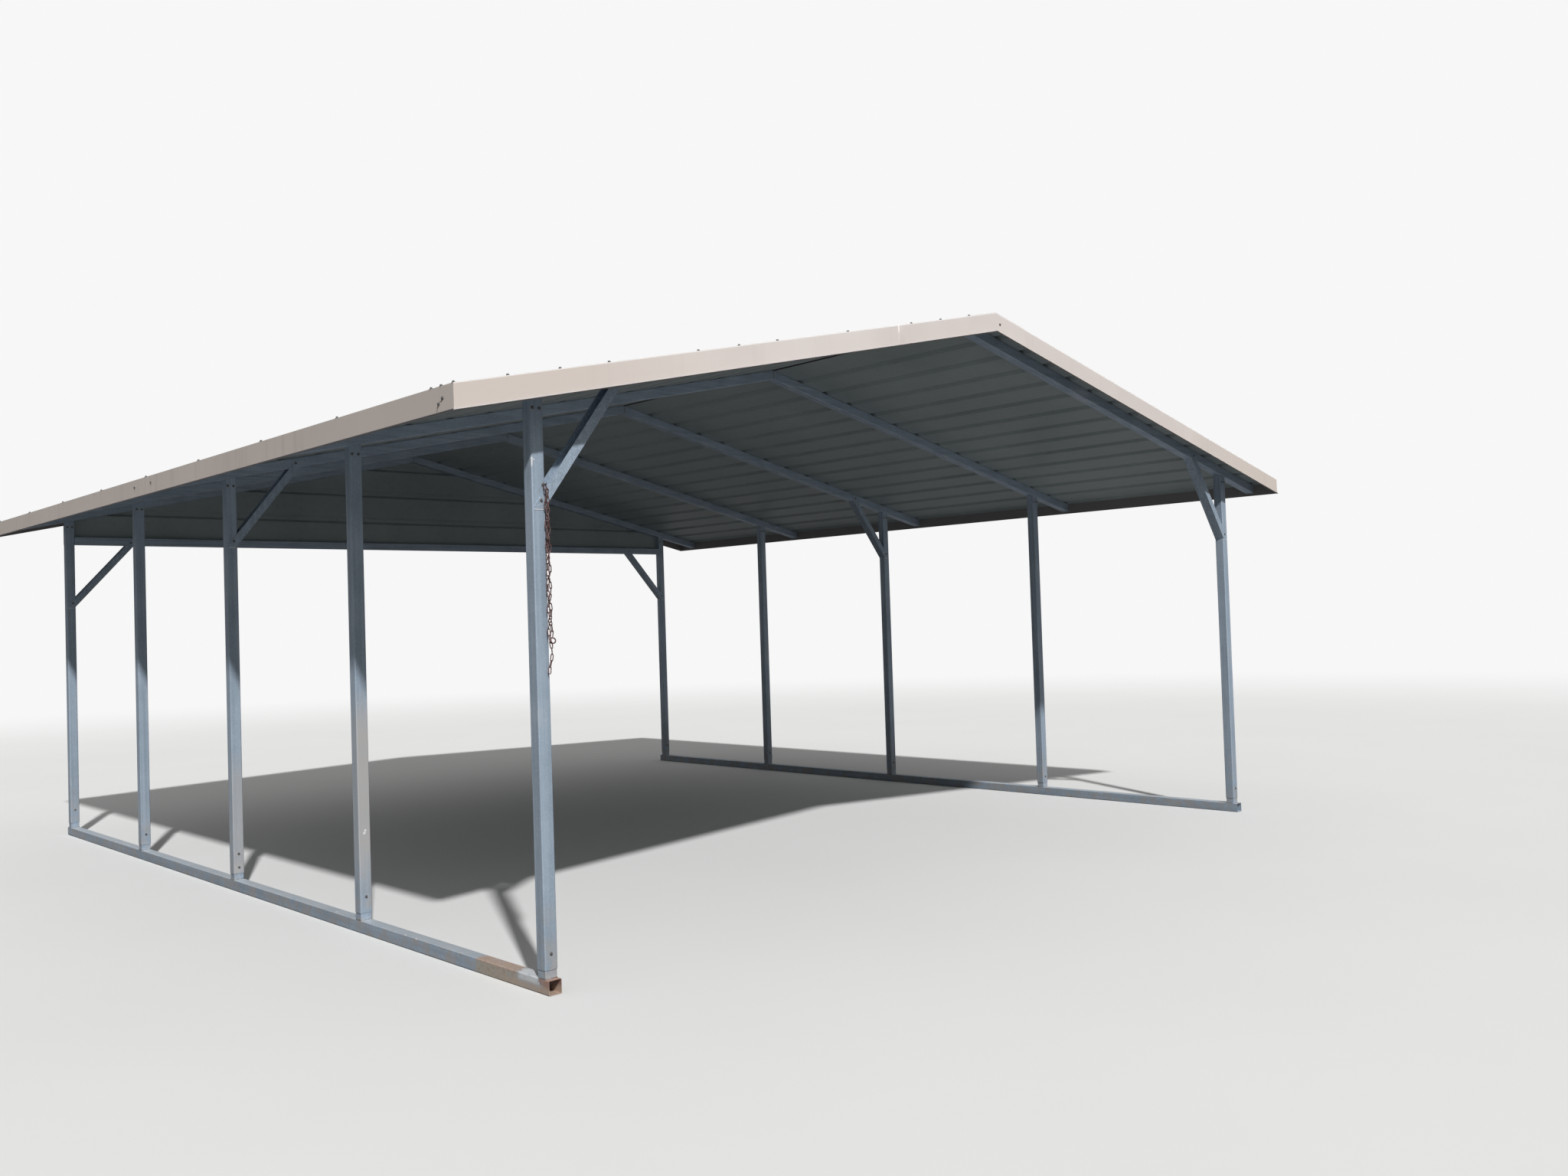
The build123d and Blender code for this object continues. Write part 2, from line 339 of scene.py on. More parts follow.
# Colours of the screws, welds and chain
SCREW_DARK = (0.13, 0.13, 0.13)
SCREW_PALE = (0.24, 0.24, 0.235)
SCREW_RUST = (0.22, 0.12, 0.07)
WELD_DARK = (0.20, 0.20, 0.20)
WELD_PALE = (0.38, 0.39, 0.39)
WELD_RUST = (0.27, 0.15, 0.09)
IRON_DARK = (0.075, 0.042, 0.042)
IRON_BROWN = (0.20, 0.115, 0.110)
IRON_DUST = (0.25, 0.175, 0.165)

# How streaks stretch the noise on each axis, least along the way that they run
UPRIGHT_GRAIN = (60, 60, 1.2)
BRACE_GRAIN = (60, 60, 4.0)
RAIL_GRAIN = (60, 1.2, 60)
RAFTER_GRAIN = (1.5, 60, 60)
ROOF_STREAKS = (1.2, 22, 22)
GABLE_STREAKS = (22, 22, 1.2)
TRIM_STREAKS = (26, 26, 1.6)

# Heights where soil and rust flecks start, and where they are at their most
SOIL_FADE = (0.50, 0.03)
FLECK_FADE = (0.45, 0.05)

# Marks on the left rail, placed by the photograph. From the front, a rusty tip, a patch of cold zinc
# and a rusty stretch follow each other, with mud low down: Y where each ends or fades
RUSTY_TIP = -3.035
PATCH_END = -2.879
RUST_END = -2.574
MUD_FADE = (PATCH_END + 0.25, PATCH_END - 0.05)
TIP_FADE = (RUSTY_TIP + 0.01, RUSTY_TIP - 0.01)
RAGGED_WIDTH = 0.09
RUST_EDGE = 0.02
PATCH_EDGE = 0.012

# Heights on the left rail where the mud, the patch and the side's rust colour start, and where each
# is at its most. Over the limit the stubs begin
MUD_TOP = (0.040, 0.018)
PATCH_FOOT = (0.020, 0.040)
RAIL_SHOULDER = (TUBE - 0.003, TUBE - 0.012)
RAIL_LIMIT = TUBE + 0.003

# Joints between the lengths of the left rail: Y, strength
RAIL_JOINTS = ((-1.43, 0.7), (-2.415, 0.35))
JOINT_HALF_WIDTH = 0.0012

# Painted highlight at the lower ends of the left brace flanges: height, and how far past the brace it
# reaches
END_HIGHLIGHT_HEIGHT = 0.0032
END_HIGHLIGHT_MARGIN = 0.001

# Left posts with a pale film: number, height where it starts and ends, strength
DUSTED_POSTS = ((2, 0.28, 1.04, 0.95), (3, 0.02, 0.68, 0.65))
FILM_FADE = 0.12

# Front faces of the first two left posts, and pale spots on them and on top of the left rail: X, Y,
# Z, size
FRONT_1 = frame_y(1) - TUBE / 2
FRONT_2 = frame_y(2) - TUBE / 2
PALE_SPOTS = ((-POST_X - 0.002, FRONT_2, 0.458, 0.0085), (-POST_X + 0.003, FRONT_2, 0.470, 0.0075),
              (-2.7515, FRONT_1, 2.029, 0.0070), (-2.7410, FRONT_1, 2.0256, 0.0040),
              (-2.7515, FRONT_1, 2.020, 0.0065), (-2.7520, FRONT_1, 2.011, 0.0060),
              (-2.7520, FRONT_1, 2.003, 0.0050), (-2.7390, -1.272, TUBE, 0.0070),
              (-2.7475, -1.974, TUBE, 0.0060), (-2.7520, -2.074, TUBE, 0.0060))

# Screws in the left fascia: Y, Z. Dark run below each: Z of its end, lean, strength
FASCIA_SCREWS = ((-3.168, 2.2035), (-3.140, 2.186), (-0.121, 2.211), (0.136, 2.208))
FASCIA_RUNS = ((2.186, 1.6, 0.65), (2.10, 0.6, 0.60), (2.19, 0.0, 0.25), (2.18, 0.0, 0.25))
RUN_HALF_WIDTH = (0.0075, 0.002)
RUN_WANDER = 0.006

# How far left of the ridge the left front trim is lapped, and the painted highlight at the lap: its
# width, the fading of its edge, and the depths under the fold where it starts and is at its most
TRIM_LAP = 0.787
LAP_LINE_WIDTH = 0.007
LAP_LINE_EDGE = 0.001
LAP_LINE_DEPTH = (0.045, 0.020)

# Depths under the fold where the painted highlight along a gable trim starts and is at its most
FOLD_LINE_DEPTH = (0.005, 0.003)

# Distances from the ridge where the trims start to turn browner, and where they are brownest
BROWNER_FADE = (1.4, 3.1)

# How near a gable trim's face or the left fascia a place is taken to lie on it
FACE_MARGIN = 0.002
FASCIA_MARGIN = 0.003

# How much facing up counts, beside facing out, in telling a trim's weather side
UP_WEIGHT = 3.0


def galvanised(name, grain, marks=(), crystals=0.08):
    """Weathered zinc on tube: faint spangle, drawn streaks along the grain, a dusting and painted light on
    top, soil low down.

    marks are functions that give pairs of mask and colour, laid over the zinc in turn. crystals is how
    much the spangle shows.
    """
    s = Shader(name)
    spangle = s.cells(150)
    blotch = s.noise(6, 4)
    streak = s.noise(1, 3, grain)
    shade = s.plus(s.times(streak, 0.6), s.times(blotch, 0.4))
    shade = s.plus(s.times(spangle, crystals), s.times(shade, 1 - crystals))
    # Zinc grey, with a painted blue of the sky's reflection in it
    colour = s.mix(s.ramp(shade, 0.32, 0.68), ZINC_DARK_AND_SKY_BLUE, ZINC_PALE_AND_SKY_BLUE)
    colour = s.mix(s.times(s.ramp(spangle, 0.62, 0.80), crystals), colour, ZINC_GLINT)
    chalk = s.times(s.patches(3.3, 6, 0.56, 0.74), s.ramp(streak, 0.35, 0.65), 0.45)
    colour = s.mix(chalk, colour, ZINC_CHALK)
    up = s.facing("Z")
    # Faces turned up are paler: a dusting, with painted light on the tops
    dust_and_top_light = s.times(s.ramp(up, 0.5, 0.9), s.patches(9, 5, 0.25, 0.6, 0.6, 1.0), 0.55)
    colour = s.mix(dust_and_top_light, colour, DUST_AND_PAINTED_TOP_LIGHT)
    soil = s.times(s.ramp(s.axis("Z"), *SOIL_FADE), s.patches(18, 5, 0.36, 0.68))
    soil = s.times(soil, s.ramp(up, 0.8, 0.4, 0.15, 0.6))
    colour = s.mix(soil, colour, SOIL)
    for mark in marks:
        for mask, hue in mark(s):
            colour = s.mix(mask, colour, hue)
    s.bump(s.plus(s.times(spangle, 0.5), s.times(blotch, 2)), 0.0003, 0.4)
    roughness = s.plus(s.ramp(shade, 0.25, 0.75, 0.52, 0.40), s.times(soil, 0.35))
    return s.finish(colour, roughness, metallic=0.35)


def on_left(s):
    return s.below(s.axis("X"), 0.0)


def on_left_rail(s):
    return s.times(on_left(s), s.below(s.axis("Z"), RAIL_LIMIT))


def rust_flecks(s):
    """Flecks of rust near the ground."""
    low = s.ramp(s.axis("Z"), *FLECK_FADE)
    return [(s.times(s.patches(46, 4, 0.70, 0.78), low, 0.7), RUST_FLECK)]


def dusted_posts(s):
    """Pale grey film on the lower halves of two left posts, mostly on their fronts."""
    front = s.times(on_left(s), s.ramp(s.facing("Y"), -0.3, -0.8, 0.45, 1.0))
    film = s.times(front, s.patches(7, 4, 0.25, 0.55, 0.75, 1.0))
    found = []
    for number, low, high, strength in DUSTED_POSTS:
        here = s.within(s.axis("Y"), frame_y(number) - TUBE, frame_y(number) + TUBE)
        level = s.times(s.within(s.axis("Z"), low, high, FILM_FADE), strength)
        found.append((s.times(here, level, film), GREY_FILM))
    return found


def pale_spots(s):
    return [(s.spot(centre, size), WHITE_SPOT) for *centre, size in PALE_SPOTS]


def left_rail_wear(s):
    """Front of the left rail: a rusty stretch, a cold zinc patch, a rusty tip, and mud low on the sides."""
    z = s.axis("Z")
    rail = on_left_rail(s)
    ragged = s.plus(s.axis("Y"), s.stray(38, 4, RAGGED_WIDTH))
    stretch = s.within(ragged, PATCH_END, RUST_END, RUST_EDGE)
    worn = s.times(stretch, s.patches(24, 5, 0.28, 0.50, 0.55, 1.0), rail)
    deep = s.times(worn, s.patches(90, 4, 0.45, 0.70), 0.35)
    patch = s.times(s.within(ragged, RUSTY_TIP, PATCH_END, PATCH_EDGE), s.ramp(z, *PATCH_FOOT), rail)
    patch = s.times(patch, s.patches(60, 3, 0.30, 0.48, 0.55, 0.95))
    tip = s.times(s.ramp(ragged, *TIP_FADE), rail, s.patches(26, 5, 0.30, 0.55, 0.35, 0.95))
    mud = s.times(s.ramp(ragged, *MUD_FADE), s.ramp(z, *MUD_TOP), rail, 0.75)
    rust = s.mix(s.ramp(z, *RAIL_SHOULDER), RUST_ON_TOP, RUST_ON_SIDE)
    return [(s.times(worn, 0.85), rust), (deep, DEEP_RUST), (patch, COLD_ZINC), (tip, RUSTY_END), (mud, MUD)]


def left_rail_joints(s):
    """Joints between the lengths of the left rail."""
    rail = on_left_rail(s)
    found = []
    for y, strength in RAIL_JOINTS:
        joint = s.within(s.axis("Y"), y - JOINT_HALF_WIDTH, y + JOINT_HALF_WIDTH)
        found.append((s.times(joint, rail, strength), DARK_JOINT))
    return found


def painted_end_highlights(s):
    """Painted highlight on the lower ends of the brace flanges."""
    found = []
    for number in BRACE_FRAMES:
        low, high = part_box("knee_brace_left_%d" % number)
        end = s.within(s.axis("Z"), low.z - END_HIGHLIGHT_MARGIN, low.z + END_HIGHLIGHT_HEIGHT)
        here = s.within(s.axis("Y"), low.y - END_HIGHLIGHT_MARGIN, high.y + END_HIGHLIGHT_MARGIN)
        found.append((s.times(end, here), PAINTED_END_HIGHLIGHT))
    return found


def trim_side(s):
    """1 on the weather side of a trim or cap, 0 on the side turned in."""
    across = s.times(s.facing("X"), s.axis("X"))
    along = s.times(s.facing("Y"), s.axis("Y"))
    up = s.times(s.facing("Z"), UP_WEIGHT)
    return s.above(s.plus(s.plus(across, along), up), 0.0)


def dark_runs(s):
    """Dark runs from the screws in the left fascia, each leaning back as it drops."""
    fascia = s.below(s.axis("X"), -EAVE_X + FASCIA_MARGIN)
    wander = s.plus(s.axis("Y"), s.stray(40, 2, RUN_WANDER))
    runs = []
    for (y, high), (low, lean, strength) in zip(FASCIA_SCREWS, FASCIA_RUNS):
        path = s.plus(s.times(s.math("SUBTRACT", high, s.axis("Z")), lean), y)
        narrow = s.ramp(s.unsigned(s.math("SUBTRACT", wander, path)), *RUN_HALF_WIDTH)
        runs.append(s.times(narrow, s.within(s.axis("Z"), low, high), s.times(fascia, strength)))
    return runs


def painted_highlight_lines(s):
    """Painted highlights: 1 along the gable trims' top fold, and at the start of the lap in the left front
    one.
    """
    level = s.plus(s.axis("Z"), s.times(s.unsigned(s.axis("X")), math.tan(ROOF_PITCH)))
    fold = slope_height(0, TRIM_TOP)
    folds = s.ramp(level, *(fold - depth for depth in FOLD_LINE_DEPTH))
    folds = s.times(folds, s.above(s.unsigned(s.axis("Y")), -FRONT_Y - FACE_MARGIN))
    lap = s.within(s.axis("X"), -TRIM_LAP, LAP_LINE_WIDTH - TRIM_LAP, LAP_LINE_EDGE)
    lap = s.times(lap, s.ramp(level, *(fold - depth for depth in LAP_LINE_DEPTH)))
    lap = s.times(lap, s.below(s.axis("Y"), FRONT_Y + FACE_MARGIN))
    return s.math("MAXIMUM", folds, lap)


def painted_trim():
    """Tan coil coating, with dirt washed down in streaks, a grey-brown backer, painted shade on the eave
    faces, painted shade and grime on the faces turned down, and painted highlights along the folds.
    """
    s = Shader("tan_trim")
    cloud = s.noise(1.7, 3)
    aside = s.unsigned(s.facing("X"))
    up = s.facing("Z")
    eave = s.ramp(aside, 0.5, 0.8)
    colour = s.mix(s.ramp(cloud, 0.3, 0.7), TAN_DARK, TAN_PALE)
    colour = s.mix(s.ramp(s.unsigned(s.axis("X")), *BROWNER_FADE, 0.0, 0.55), colour, TAN_BY_EAVE)
    # Painted shade over the faces that look along X
    colour = s.mix(s.times(eave, 0.22), colour, PAINTED_EAVE_SHADE)
    wash = s.times(s.ramp(s.noise(1, 4, TRIM_STREAKS), 0.48, 0.74), s.patches(2.2, 2, 0.35, 0.65))
    colour = s.mix(s.times(wash, s.ramp(eave, 0.0, 1.0, 0.08, 0.40)), colour, WASHED_DIRT)
    for run in dark_runs(s):
        colour = s.mix(run, colour, DARK_RUN)
    # Painted highlights along the top folds and at the lap
    colour = s.mix(s.times(painted_highlight_lines(s), 0.8), colour, PAINTED_FOLD_HIGHLIGHT)
    # The hems' faces, turned up and out, are darker, more so on the eave trims
    hem_darker = s.mix(s.ramp(aside, 0.3, 0.6), GABLE_HEM_DARKER, EAVE_HEM_DARKER)
    colour = s.mix(s.within(up, 0.5, 0.88, 0.03), colour, hem_darker)
    # Faces turned down get painted shade and grime
    colour = s.mix(s.ramp(up, -0.3, -0.5, 0.0, 0.9), colour, PAINTED_SHADE_AND_GRIME_UNDER_TRIM)
    colour = s.mix(trim_side(s), TRIM_BACKER, colour)
    s.bump(s.noise(2.6, 2), 0.004, 0.2)
    return s.finish(colour, s.ramp(cloud, 0.3, 0.7, 0.36, 0.48))


def coated_sheet(name, weather_axis, streaks):
    """Coil-coated sheet: tan on the weather side, dull grey backer on the side turned to the room."""
    s = Shader(name)
    cloud = s.noise(1.3, 4)
    fine = s.noise(30, 3)
    dirt = s.ramp(s.noise(1, 5, streaks), 0.50, 0.74)
    dirt = s.times(dirt, s.patches(0.9, 3, 0.35, 0.70, 0.25, 1.0), 0.35)
    outside = s.mix(s.ramp(cloud, 0.2, 0.8), SHEET_DARK, SHEET_PALE)
    outside = s.mix(dirt, outside, SHEET_STREAK)
    inside = s.mix(s.ramp(cloud, 0.3, 0.7), BACKER_DARK, BACKER_PALE)
    colour = s.mix(s.above(s.facing(weather_axis), 0.0), inside, outside)
    colour = s.mix(s.times(s.ramp(fine, 0.5, 0.75), 0.15), colour, SHEET_SPECK)
    s.bump(fine, 0.0004, 0.3)
    return s.finish(colour, s.ramp(cloud, 0.3, 0.7, 0.42, 0.55))


def zinc_screw():
    s = Shader("zinc_screw")
    grain = s.noise(300, 3)
    colour = s.mix(s.ramp(grain, 0.3, 0.7), SCREW_DARK, SCREW_PALE)
    colour = s.mix(s.patches(90, 4, 0.58, 0.72), colour, SCREW_RUST)
    s.bump(grain, 0.0002, 0.4)
    return s.finish(colour, s.ramp(grain, 0.3, 0.7, 0.45, 0.65), metallic=0.7)


def weld_metal():
    s = Shader("weld")
    ripple = s.noise(160, 4)
    colour = s.mix(s.ramp(ripple, 0.35, 0.65), WELD_DARK, WELD_PALE)
    colour = s.mix(s.patches(35, 4, 0.5, 0.7), colour, WELD_RUST)
    s.bump(ripple, 0.0006, 0.6)
    return s.finish(colour, roughness=0.55, metallic=0.5)


def rusty_iron():
    s = Shader("rusty_iron")
    crust = s.noise(120, 6)
    colour = s.mix(s.ramp(crust, 0.35, 0.65), IRON_DARK, IRON_BROWN)
    colour = s.mix(s.patches(24, 4, 0.55, 0.75), colour, IRON_DUST)
    s.bump(crust, 0.0006, 0.8)
    return s.finish(colour, s.ramp(crust, 0.3, 0.7, 0.75, 0.9), metallic=0.15)


def paint_nodes(trim):
    """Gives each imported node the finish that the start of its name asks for."""
    rail_marks = (rust_flecks, left_rail_joints, pale_spots, left_rail_wear)
    upright = galvanised("galvanised_upright", UPRIGHT_GRAIN, (dusted_posts, rust_flecks, pale_spots))
    # The braces get a painted highlight at the lower ends of their flanges
    spangled = galvanised("galvanised_brace", BRACE_GRAIN, (painted_end_highlights,), crystals=0.22)
    lengthways = galvanised("galvanised_rail", RAIL_GRAIN, rail_marks)
    across = galvanised("galvanised_across", RAFTER_GRAIN)
    roof = coated_sheet("roof_sheet", "Z", ROOF_STREAKS)
    gable = coated_sheet("gable_sheet", "Y", GABLE_STREAKS)
    finishes = {"post_": upright, "base_rail_": lengthways, "knee_brace_": spangled, "rafter_": across,
                "gable_header_": across, "gable_panel_": gable, "roof_sheet_": roof, "eave_trim_": trim,
                "gable_trim_": trim, "ridge_cap": trim}
    for name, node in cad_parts.items():
        for start, material in finishes.items():
            if name.startswith(start):
                node.data.materials.clear()
                node.data.materials.append(material)


# Hex washer screws: washer radius and height, head radius, whole height
FRAME_SCREW = (0.0068, 0.0013, 0.0047, 0.0050)
ROOF_SCREW = (0.0072, 0.0020, 0.0050, 0.0064)
CHAIN_SCREW = (0.0072, 0.0016, 0.0046, 0.0200)
WASHER_SIDES = 20
HEX_SIDES = 6
HEAD_CHAMFER = 0.0007

# Shares of a screw's sizes: the washer's rim height and top radius, where the head starts in the
# washer's height, and the radius of the head's top
RIM_HEIGHT = 0.6
WASHER_TOP = 0.86
HEAD_START = 0.5
HEAD_TOP = 0.84

# How far a fitting reaches into the face that it sits on
SEATED = 0.0003


class Piece:
    """One mesh object gathered from many small shapes."""

    def __init__(self, name):
        self.name = name
        self.mesh = bmesh.new()

    def loft(self, rings, closed=False):
        """Skin over rings of points, capped at both ends unless the run of rings closes."""
        loops = [[self.mesh.verts.new(point) for point in ring] for ring in rings]
        pairs = list(zip(loops, loops[1:]))
        if closed:
            pairs.append((loops[-1], loops[0]))
        for low, high in pairs:
            for i in range(len(low)):
                j = (i + 1) % len(low)
                self.mesh.faces.new((low[i], low[j], high[j], high[i]))
        if not closed:
            self.mesh.faces.new(loops[0][::-1])
            self.mesh.faces.new(loops[-1])

    def lathe(self, place, profile, sides, turn=0.0):
        """Rings of (radius, height) about the Z axis of place."""
        angles = [turn + 2 * math.pi * i / sides for i in range(sides)]
        self.loft([[place @ Vector((radius * math.cos(t), radius * math.sin(t), height)) for t in angles]
                   for radius, height in profile])

    def screw(self, point, normal, size=FRAME_SCREW):
        """Hex washer head on a face, with its height along the normal."""
        washer, thick, head, tall = size
        place = Matrix.Translation(point) @ normal.to_track_quat("Z", "Y").to_matrix().to_4x4()
        flange = ((washer, -SEATED), (washer, thick * RIM_HEIGHT), (washer * WASHER_TOP, thick))
        hexagon = ((head, thick * HEAD_START), (head, tall - HEAD_CHAMFER), (head * HEAD_TOP, tall))
        self.lathe(place, flange, WASHER_SIDES)
        self.lathe(place, hexagon, HEX_SIDES, random.uniform(0, math.pi))

    def tube(self, path, radius, sides=8, closed=False):
        """Round bar along a path. radius is a number, or a function of the place in the path."""
        rings = []
        count = len(path)
        for i, point in enumerate(path):
            before = path[i - 1] if closed or i > 0 else point
            after = path[(i + 1) % count] if closed or i < count - 1 else point
            turn = (after - before).to_track_quat("Z", "Y").to_matrix()
            size = radius(i) if callable(radius) else radius
            rings.append([point + turn @ Vector((size * math.cos(t), size * math.sin(t), 0))
                          for t in (2 * math.pi * k / sides for k in range(sides))])
        self.loft(rings, closed)

    def done(self, material, smooth=30):
        """Makes the object, shaded smooth across edges under the angle, and rides it on the frame."""
        bmesh.ops.recalc_face_normals(self.mesh, faces=self.mesh.faces)
        for edge in self.mesh.edges:
            edge.smooth = len(edge.link_faces) == 2 and edge.calc_face_angle() < math.radians(smooth)
        for face in self.mesh.faces:
            face.smooth = True
        data = bpy.data.meshes.new(self.name)
        self.mesh.to_mesh(data)
        self.mesh.free()
        data.materials.append(material)
        piece = bpy.data.objects.new(self.name, data)
        bpy.context.scene.collection.objects.link(piece)
        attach(piece, "root")


# Screws through the posts: heights above the post's foot, and the pair at its top
FOOT_SCREWS = {("left", 1): (0.060,), ("left", 2): (0.074,), ("left", 3): (0.107, 0.033),
               ("left", 5): (0.093,), ("right", 2): (0.046,)}
FOOT_SCREWS_USUAL = (0.065,)
TOP_SCREWS_ASIDE = (-0.018, 0.013)
TOP_SCREWS_DROP = 0.0415


def add_post_screws(material):
    """Screws through each post into its two stubs."""
    piece = Piece("post_screws")
    for side, sign in SIDES:
        for number in FRAMES:
            face = frame_y(number) - TUBE / 2
            for rise in FOOT_SCREWS.get((side, number), FOOT_SCREWS_USUAL):
                piece.screw(Vector((sign * POST_X, face, POST_FOOT + rise)), OUT_FRONT)
            for aside in TOP_SCREWS_ASIDE:
                piece.screw(Vector((sign * POST_X + aside, face, RAFTER_UNDER - TOP_SCREWS_DROP)), OUT_FRONT)
    piece.done(material)


# Screws in the knee braces: the lower ones out from the post's inner face and up from the brace's
# foot, the upper ones out from the brace's inner end and down from its top
BRACE_FOOT_OUT = 0.019
BRACE_FOOT_UP = 0.036
BRACE_HEAD_OUT = 0.034
BRACE_HEAD_DOWN = 0.030


def add_brace_screws(material):
    """Screws at both ends of each knee brace, front and back, but for where the gable panel covers it."""
    piece = Piece("brace_screws")
    for side, sign in SIDES:
        for number in BRACE_FRAMES:
            low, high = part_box("knee_brace_%s_%d" % (side, number))
            inner_end = min(abs(low.x), abs(high.x))
            foot = Vector((sign * (POST_X - TUBE / 2 + BRACE_FOOT_OUT), low.y, low.z + BRACE_FOOT_UP))
            head = Vector((sign * (inner_end + BRACE_HEAD_OUT), low.y, high.z - BRACE_HEAD_DOWN))
            piece.screw(foot, OUT_FRONT)
            piece.screw(at_y(foot, high.y), OUT_BACK)
            piece.screw(head, OUT_FRONT)
            if number < FRAME_COUNT:
                piece.screw(at_y(head, high.y), OUT_BACK)
    piece.done(material)


# How far up the slope from a rib its screws are, as a share of the rib pitch
ROOF_SCREW_SHARE = 0.30


def add_roof_screws(material):
    """Screws in the pans at each rafter, up the slope from each rib but the last."""
    piece = Piece("roof_screws")
    for _, sign in SIDES:
        for number in FRAMES:
            for run in rib_runs()[:-1]:
                place = on_slope(run - RIB_PITCH * ROOF_SCREW_SHARE, SHEET_GAUGE, sign)
                piece.screw(at_y(place, frame_y(number)), slope_normal(sign), ROOF_SCREW)
    piece.done(material)


# Screws in the trims. Along the left half of the front trim some ribs have none, and the others'
# screws drift from even spacing, more the further they are from one place down the slope
EDGE_MARGIN = 0.011
RIBS_WITHOUT_SCREW = (0, 4, 8, 10)
DRIFT_FROM = 1.15
SCREW_DRIFT = 0.0168
EAVE_SCREW_FIRST = -3.079
EAVE_SCREW_SPACING = 0.762
EAVE_SCREW_COUNT = 9
LEFT_CORNER_SCREWS = (-3.151, -3.236)
CAP_SCREW_INSET = 0.030
CAP_SCREW_LIFT = 0.0003
CAP_SCREW_COUNT = 22
PEAK_SCREW_X = 0.0305
PEAK_SCREW_Z = 2.8925


def add_trim_screws(material):
    """Screws along the flanges of the gable and eave trims and the ridge cap, and in the trim faces."""
    piece = Piece("trim_screws")
    for _, sign in SIDES:
        normal = slope_normal(sign)
        for rib, run in enumerate(rib_runs()[:-1]):
            if sign == RIGHT or rib not in RIBS_WITHOUT_SCREW:
                drift = (run - DRIFT_FROM) * SCREW_DRIFT if sign == LEFT else 0
                place = on_slope(run + drift, TRIM_TOP, sign)
                piece.screw(at_y(place, FRONT_Y + EDGE_MARGIN), normal, ROOF_SCREW)
            place = on_slope(run, TRIM_TOP, sign)
            piece.screw(at_y(place, -FRONT_Y - EDGE_MARGIN), normal, ROOF_SCREW)
        edge = on_slope(SLOPE_LENGTH - EDGE_MARGIN, TRIM_TOP, sign)
        along_eave = [EAVE_SCREW_FIRST + EAVE_SCREW_SPACING * k for k in range(EAVE_SCREW_COUNT)]
        if sign == LEFT:
            along_eave += LEFT_CORNER_SCREWS
        for y in along_eave:
            piece.screw(at_y(edge, y), normal, ROOF_SCREW)
        cap = on_slope(CAP_HALF_WIDTH - CAP_SCREW_INSET, TRIM_TOP + TRIM_GAUGE + CAP_SCREW_LIFT, sign)
        for y in evenly(FRONT_Y + EDGE_MARGIN, -FRONT_Y - EDGE_MARGIN, CAP_SCREW_COUNT):
            piece.screw(at_y(cap, y), normal, ROOF_SCREW)
    for y, z in FASCIA_SCREWS:
        piece.screw(Vector((-EAVE_X, y, z)), OUT_LEFT)
    for end, normal in ((1, OUT_FRONT), (-1, OUT_BACK)):
        piece.screw(Vector((PEAK_SCREW_X * end, FRONT_Y * end, PEAK_SCREW_Z)), normal)
    piece.done(material)


# The lapped face: steps towards the ridge, each with how far the crest stands proud there, the share
# of that at the face's upper and lower edges, how far the crest lies under the upper edge, and how
# far that edge stays under the fold
LAP_SWELLING = ((0.0, 0.0001), (0.008, 0.0042), (0.013, 0.0042), (0.050, 0.0001))
LAP_UPPER_SHARE = 0.1
LAP_LOWER_SHARE = 0.05
LAP_CREST_DROP = 0.030
LAP_EDGE_DROP = 0.0006


def add_trim_lap(material):
    """Where the left front trim is lapped: its face swells over the end of the length below."""
    piece = Piece("trim_lap")
    rings = []
    for step, proud in LAP_SWELLING:
        aside = TRIM_LAP - step
        high = slope_height(aside, TRIM_TOP - LAP_EDGE_DROP)
        low = slope_height(aside, TRIM_LOW + HEM_DROP)
        outline = ((SEATED, high), (-proud * LAP_UPPER_SHARE, high), (-proud, high - LAP_CREST_DROP),
                   (-proud * LAP_LOWER_SHARE, low), (SEATED, low))
        rings.append([Vector((-aside, FRONT_Y + inward, z)) for inward, z in outline])
    piece.loft(rings)
    piece.done(material)


# Section of the edge under a hem: out from the trim's face, up from its lower edge. On the eave trims
# that edge is taken a little over their lowest point
HEM_RETURN = ((HEM_OUT - 0.0001, 0.0003), (-0.0005, -0.0045), (-0.0009, -0.0036),
              (HEM_OUT - 0.0014, -0.0004))
EAVE_RETURN_RISE = 0.0009


def add_hem_returns(material):
    """Below the hems the edge of each trim is turned back in."""
    piece = Piece("hem_returns")
    eave_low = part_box("eave_trim_left")[0].z + EAVE_RETURN_RISE
    for _, sign in SIDES:
        eave = [Vector((sign * (EAVE_X + out), -FRONT_Y + out, eave_low + rise)) for out, rise in HEM_RETURN]
        piece.loft([[at_y(point, -point.y) for point in eave], eave])
        for end in (-1, 1):
            ridge = []
            corner = []
            for out, rise in HEM_RETURN:
                x = EAVE_X + out
                y = end * (-FRONT_Y + out)
                ridge.append(Vector((0, y, slope_height(0, TRIM_LOW) + rise)))
                corner.append(Vector((sign * x, y, slope_height(x, TRIM_LOW) + rise)))
            piece.loft([ridge, corner])
    piece.done(material)


# Screws in the gable panel: a row along the header, and one down each rafter, its first screw and
# spacing from the ridge and its depth under the rafter's top as a share of the tube
HEADER_SCREW_COUNT = 19
RAKE_SCREW_COUNT = 9
RAKE_SCREW_FIRST = 0.25
RAKE_SCREW_SPACING = 0.29
RAKE_SCREW_DEPTH = 0.55
PANEL_RIB_MARGIN = 0.038


def near_panel_rib(z):
    step = (z - HEADER_LOW - PANEL_FIRST_RIB) % RIB_PITCH
    return min(step, RIB_PITCH - step) < PANEL_RIB_MARGIN


